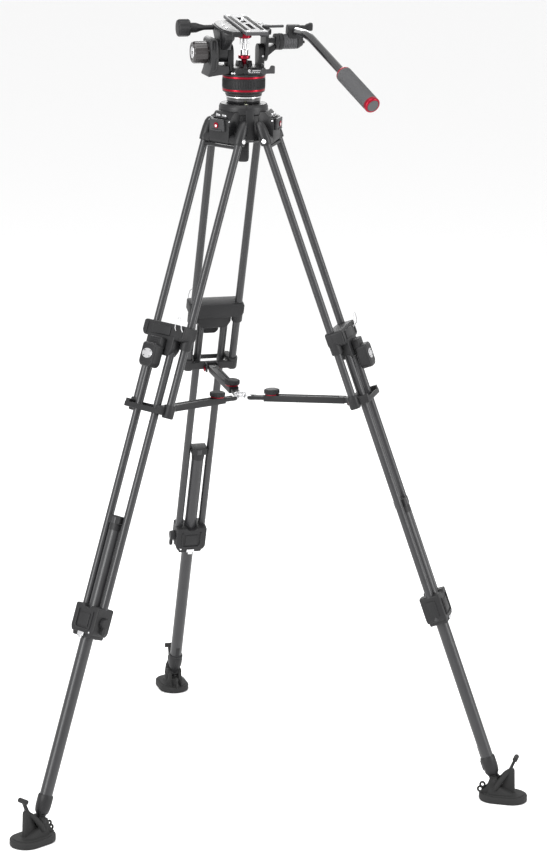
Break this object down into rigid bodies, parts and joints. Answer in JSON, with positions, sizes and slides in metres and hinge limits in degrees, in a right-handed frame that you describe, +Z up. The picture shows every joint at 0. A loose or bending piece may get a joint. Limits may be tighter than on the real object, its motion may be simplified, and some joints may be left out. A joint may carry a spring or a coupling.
{
  "type": "video tripod with fluid head",
  "caption": "Two-stage twin-tube tripod with mid-level spreader, half-ball fluid head, sliding camera plate and pan bar.",
  "frame": {"origin": "on the floor, in the middle of the footprint of the three shoes; the pan axis stands 0.158 m behind it, towards -Y", "axes": "+Z up along the pan axis; +Y towards the front leg, the way the lens points; the pan bar is on +X and points back to the operator"},
  "size_m": [1.1672, 1.0206, 1.7091],
  "materials": {
    "carbon": "woven carbon tube under clear coat",
    "black_metal": "black powder-coated casting",
    "grey_metal": "grey anodised",
    "black_plastic": "moulded, fine grain",
    "grey_plastic": "moulded, fine grain",
    "rubber": "moulded rubber",
    "grip_rubber": "ribbed rubber",
    "red_anodised": "red anodised",
    "steel": "turned",
    "gloss_black": "gloss black lacquer"
  },
  "bodies": {
    "crown": {"crown": "black_metal"},
    "leg_front_upper": {"front_upper_frame": "carbon", "front_bracket": "black_plastic"},
    "leg_front_middle": {"front_middle_frame": "carbon", "front_collar": "black_plastic"},
    "leg_front_lower": {"front_lower_tube": "carbon"},
    "shoe_front": {"front_shoe": "rubber"},
    "collar_lever_front": {"front_collar_lever": "black_plastic"},
    "lock_lever_front": {"front_lock_lever": "black_plastic"},
    "angle_lever_front": {"angle_lever_front": "grey_plastic"},
    "arm_front": {"front_arm_channel": "black_plastic"},
    "blade_front": {"front_arm_blade": "black_metal"},
    "arm_knob_front": {"front_arm_knob": "black_plastic"},
    "leg_left_upper": {"left_upper_frame": "carbon", "left_bracket": "black_plastic"},
    "leg_left_middle": {"left_middle_frame": "carbon", "left_collar": "black_plastic"},
    "leg_left_lower": {"left_lower_tube": "carbon"},
    "shoe_left": {"left_shoe": "rubber"},
    "collar_lever_left": {"left_collar_lever": "black_plastic"},
    "lock_lever_left": {"left_lock_lever": "black_plastic"},
    "angle_lever_left": {"angle_lever_left": "grey_plastic"},
    "arm_left": {"left_arm_channel": "black_plastic"},
    "blade_left": {"left_arm_blade": "black_metal"},
    "arm_knob_left": {"left_arm_knob": "black_plastic"},
    "leg_right_upper": {"right_upper_frame": "carbon", "right_bracket": "black_plastic"},
    "leg_right_middle": {"right_middle_frame": "carbon", "right_collar": "black_plastic"},
    "leg_right_lower": {"right_lower_tube": "carbon"},
    "shoe_right": {"right_shoe": "rubber"},
    "collar_lever_right": {"right_collar_lever": "black_plastic"},
    "lock_lever_right": {"right_lock_lever": "black_plastic"},
    "angle_lever_right": {"angle_lever_right": "grey_plastic"},
    "arm_right": {"right_arm_channel": "black_plastic"},
    "blade_right": {"right_arm_blade": "black_metal", "spreader_hub": "steel"},
    "arm_knob_right": {"right_arm_knob": "black_plastic"},
    "clamp_cup": {"clamp_cup": "black_metal"},
    "tie_down_handle": {"tie_down_handle": "black_plastic"},
    "ball": {"half_ball": "gloss_black", "pan_base": "red_anodised"},
    "drag_ring": {"pan_drag_ring": "black_plastic"},
    "pan": {"pan_body": "black_metal", "side_housing": "black_plastic"},
    "counterbalance_knob": {"counterbalance_knob": "black_plastic"},
    "pan_lock_lever": {"pan_lock_lever": "grey_plastic"},
    "spring_foot": {"spring_foot": "red_anodised"},
    "spring_cap": {"spring_cap": "red_anodised"},
    "tilt": {"tilt_body": "black_metal"},
    "plate": {"camera_plate": "grey_metal"},
    "camera_screw": {"camera_screw": "steel"},
    "plate_lever": {"plate_lever": "grey_metal"},
    "plate_lock_knob": {"plate_lock_knob": "black_plastic"},
    "pan_bar": {"bar_clamp": "grey_metal", "pan_bar": "gloss_black", "grip": "grip_rubber"},
    "wing_knob": {"clamp_wing_knob": "black_plastic"}
  },
  "joints": [
    {"name": "leg_right_fold", "type": "hinge", "parent": "crown", "child": "leg_right_upper", "pos_m": [0.05456, -0.18963, 1.457], "axis": [-0.5, -0.866, 0], "range_deg": [-2.9, 6]},
    {"name": "leg_front_fold", "type": "hinge", "parent": "crown", "child": "leg_front_upper", "pos_m": [0, -0.09513, 1.457], "axis": [1, 0, 0], "range_deg": [-2.9, 6]},
    {"name": "leg_left_fold", "type": "hinge", "parent": "crown", "child": "leg_left_upper", "pos_m": [-0.05456, -0.18963, 1.457], "axis": [-0.5, 0.866, 0], "range_deg": [-2.9, 6]},
    {"name": "tilt", "type": "hinge", "parent": "pan", "child": "tilt", "pos_m": [0, -0.15813, 1.6395], "axis": [1, 0, 0], "range_deg": [-75, 55]},
    {"name": "pan", "type": "hinge", "parent": "ball", "child": "pan", "pos_m": [0, -0.15813, 1.5425], "axis": [0, 0, 1], "continuous": true},
    {"name": "pan_bar_angle", "type": "hinge", "parent": "tilt", "child": "pan_bar", "pos_m": [0.0743, -0.15987, 1.65942], "axis": [1, 0, 0], "range_deg": [-60, 60]},
    {"name": "leg_front_middle_slide", "type": "slide", "parent": "leg_front_upper", "child": "leg_front_middle", "axis": [0, -0.3437, 0.9391], "range_m": [-0.045, 0.33]},
    {"name": "leg_front_lower_slide", "type": "slide", "parent": "leg_front_middle", "child": "leg_front_lower", "axis": [0, -0.3437, 0.9391], "range_m": [-0.18, 0.3]},
    {"name": "leg_left_middle_slide", "type": "slide", "parent": "leg_left_upper", "child": "leg_left_middle", "axis": [0.2976, 0.1718, 0.9391], "range_m": [-0.045, 0.33]},
    {"name": "leg_left_lower_slide", "type": "slide", "parent": "leg_left_middle", "child": "leg_left_lower", "axis": [0.2976, 0.1718, 0.9391], "range_m": [-0.16, 0.3]},
    {"name": "leg_right_middle_slide", "type": "slide", "parent": "leg_right_upper", "child": "leg_right_middle", "axis": [-0.2976, 0.1718, 0.9391], "range_m": [-0.045, 0.33]},
    {"name": "leg_right_lower_slide", "type": "slide", "parent": "leg_right_middle", "child": "leg_right_lower", "axis": [-0.2976, 0.1718, 0.9391], "range_m": [-0.18, 0.3]},
    {"name": "ball_level_side", "type": "hinge", "parent": "crown", "child": "clamp_cup", "pos_m": [0, -0.15813, 1.5425], "axis": [0, 1, 0], "range_deg": [-8, 8]},
    {"name": "ball_level_fore", "type": "hinge", "parent": "clamp_cup", "child": "ball", "pos_m": [0, -0.15813, 1.5425], "axis": [1, 0, 0], "range_deg": [-8, 8]},
    {"name": "plate_slide", "type": "slide", "parent": "tilt", "child": "plate", "axis": [0, 0.9962, 0.0872], "range_m": [-0.05, 0.05]},
    {"name": "arm_front_swing", "type": "hinge", "parent": "leg_front_upper", "child": "arm_front", "pos_m": [0, 0.09032, 0.88914], "axis": [1, 0, 0], "range_deg": [-6.5, 3.4]},
    {"name": "arm_front_slide", "type": "slide", "parent": "arm_front", "child": "blade_front", "axis": [0, 0.999, 0.0441], "range_m": [-0.0599, 0.0295]},
    {"name": "arm_left_swing", "type": "hinge", "parent": "leg_left_upper", "child": "arm_left", "pos_m": [-0.21516, -0.28235, 0.88914], "axis": [-0.5, 0.866, 0], "range_deg": [-6.5, 3.4]},
    {"name": "arm_left_slide", "type": "slide", "parent": "arm_left", "child": "blade_left", "axis": [-0.8652, -0.4995, 0.0441], "range_m": [-0.0599, 0.0295]},
    {"name": "arm_right_swing", "type": "hinge", "parent": "leg_right_upper", "child": "arm_right", "pos_m": [0.21516, -0.28235, 0.88914], "axis": [-0.5, -0.866, 0], "range_deg": [-6.5, 3.4]},
    {"name": "arm_right_slide", "type": "slide", "parent": "arm_right", "child": "blade_right", "axis": [0.8652, -0.4995, 0.0441], "range_m": [-0.0599, 0.0295]},
    {"name": "spring_foot_rock", "type": "hinge", "parent": "pan", "child": "spring_foot", "pos_m": [0, -0.15813, 1.5965], "axis": [1, 0, 0], "range_deg": [-38, 28]},
    {"name": "spring_cap_rock", "type": "hinge", "parent": "tilt", "child": "spring_cap", "pos_m": [0, -0.16188, 1.68234], "axis": [1, 0, 0], "range_deg": [-28, 38]},
    {"name": "shoe_front_tilt", "type": "hinge", "parent": "leg_front_lower", "child": "shoe_front", "pos_m": [0, 0.43638, 0.04677], "axis": [1, 0, 0], "range_deg": [-20, 20]},
    {"name": "shoe_left_tilt", "type": "hinge", "parent": "leg_left_lower", "child": "shoe_left", "pos_m": [-0.51486, -0.45538, 0.04677], "axis": [-0.5, 0.866, 0], "range_deg": [-20, 20]},
    {"name": "shoe_right_tilt", "type": "hinge", "parent": "leg_right_lower", "child": "shoe_right", "pos_m": [0.51486, -0.45538, 0.04677], "axis": [-0.5, -0.866, 0], "range_deg": [-20, 20]},
    {"name": "pan_lock_turn", "type": "hinge", "parent": "pan", "child": "pan_lock_lever", "pos_m": [0.033, -0.19443, 1.6005], "axis": [0, 1, 0], "range_deg": [-45, 0]},
    {"name": "plate_lever_turn", "type": "hinge", "parent": "tilt", "child": "plate_lever", "pos_m": [0.04, -0.18478, 1.69168], "axis": [0, -0.0872, 0.9962], "range_deg": [-50, 0]},
    {"name": "collar_lever_front", "type": "hinge", "parent": "leg_front_middle", "child": "collar_lever_front", "pos_m": [0, 0.0925, 1.02518], "axis": [1, 0, 0], "range_deg": [0, 60]},
    {"name": "lock_lever_front", "type": "hinge", "parent": "leg_front_middle", "child": "lock_lever_front", "pos_m": [-0.0363, 0.29342, 0.43743], "axis": [1, 0, 0], "range_deg": [0, 90]},
    {"name": "collar_lever_left", "type": "hinge", "parent": "leg_left_middle", "child": "collar_lever_left", "pos_m": [-0.20991, -0.27932, 1.04772], "axis": [-0.5, 0.866, 0], "range_deg": [0, 60]},
    {"name": "lock_lever_left", "type": "hinge", "parent": "leg_left_middle", "child": "lock_lever_left", "pos_m": [-0.36576, -0.41122, 0.45997], "axis": [-0.5, 0.866, 0], "range_deg": [0, 90]},
    {"name": "collar_lever_right", "type": "hinge", "parent": "leg_right_middle", "child": "collar_lever_right", "pos_m": [0.21705, -0.28344, 1.02518], "axis": [-0.5, -0.866, 0], "range_deg": [0, 60]},
    {"name": "lock_lever_right", "type": "hinge", "parent": "leg_right_middle", "child": "lock_lever_right", "pos_m": [0.4092, -0.35247, 0.43743], "axis": [-0.5, -0.866, 0], "range_deg": [0, 90]},
    {"name": "angle_lever_front_pull", "type": "hinge", "parent": "crown", "child": "angle_lever_front", "pos_m": [0, -0.08303, 1.501], "axis": [1, 0, 0], "range_deg": [0, 25], "stiffness_Nm_per_rad": 0.2, "springref_deg": -5.73},
    {"name": "angle_lever_left_pull", "type": "hinge", "parent": "crown", "child": "angle_lever_left", "pos_m": [-0.06504, -0.19568, 1.501], "axis": [-0.5, 0.866, 0], "range_deg": [0, 25], "stiffness_Nm_per_rad": 0.2, "springref_deg": -5.73},
    {"name": "angle_lever_right_pull", "type": "hinge", "parent": "crown", "child": "angle_lever_right", "pos_m": [0.06504, -0.19568, 1.501], "axis": [-0.5, -0.866, 0], "range_deg": [0, 25], "stiffness_Nm_per_rad": 0.2, "springref_deg": -5.73},
    {"name": "counterbalance_turn", "type": "hinge", "parent": "pan", "child": "counterbalance_knob", "pos_m": [-0.0823, -0.15813, 1.6395], "axis": [-1, 0, 0], "continuous": true},
    {"name": "plate_lock_turn", "type": "hinge", "parent": "tilt", "child": "plate_lock_knob", "pos_m": [-0.0618, -0.13641, 1.68958], "axis": [-1, 0, 0], "continuous": true},
    {"name": "drag_ring_turn", "type": "hinge", "parent": "ball", "child": "drag_ring", "pos_m": [0, -0.15813, 1.5425], "axis": [0, 0, 1], "continuous": true},
    {"name": "wing_knob_turn", "type": "hinge", "parent": "pan_bar", "child": "wing_knob", "pos_m": [0.1226, -0.16249, 1.68931], "axis": [1, 0, 0], "continuous": true},
    {"name": "tie_down_turn", "type": "hinge", "parent": "ball", "child": "tie_down_handle", "pos_m": [0, -0.15813, 1.5425], "axis": [0, 0, 1], "continuous": true},
    {"name": "camera_screw_turn", "type": "hinge", "parent": "plate", "child": "camera_screw", "pos_m": [0.002, -0.13295, 1.69591], "axis": [0, -0.0872, 0.9962], "continuous": true},
    {"name": "arm_front_knob_turn", "type": "hinge", "parent": "arm_front", "child": "arm_knob_front", "pos_m": [0, -0.0865, 0.88864], "axis": [0, -0.0441, 0.999], "continuous": true},
    {"name": "arm_left_knob_turn", "type": "hinge", "parent": "arm_left", "child": "arm_knob_left", "pos_m": [-0.06203, -0.19394, 0.88864], "axis": [0.0382, 0.0221, 0.999], "continuous": true},
    {"name": "arm_right_knob_turn", "type": "hinge", "parent": "arm_right", "child": "arm_knob_right", "pos_m": [0.06203, -0.19394, 0.88864], "axis": [-0.0382, 0.0221, 0.999], "continuous": true}
  ],
  "couplings": [
    {"joint": "leg_front_fold", "follows": "leg_right_fold", "ratio": 1},
    {"joint": "leg_left_fold", "follows": "leg_right_fold", "ratio": 1},
    {"joint": "arm_front_swing", "follows": "leg_right_fold", "ratio": -1},
    {"joint": "arm_front_slide", "follows": "leg_right_fold", "m_per_rad": -0.5624},
    {"joint": "arm_left_swing", "follows": "leg_right_fold", "ratio": -1},
    {"joint": "arm_left_slide", "follows": "leg_right_fold", "m_per_rad": -0.5624},
    {"joint": "arm_right_swing", "follows": "leg_right_fold", "ratio": -1},
    {"joint": "arm_right_slide", "follows": "leg_right_fold", "m_per_rad": -0.5624},
    {"joint": "spring_foot_rock", "follows": "tilt", "ratio": 0.5},
    {"joint": "spring_cap_rock", "follows": "tilt", "ratio": -0.5}
  ]
}
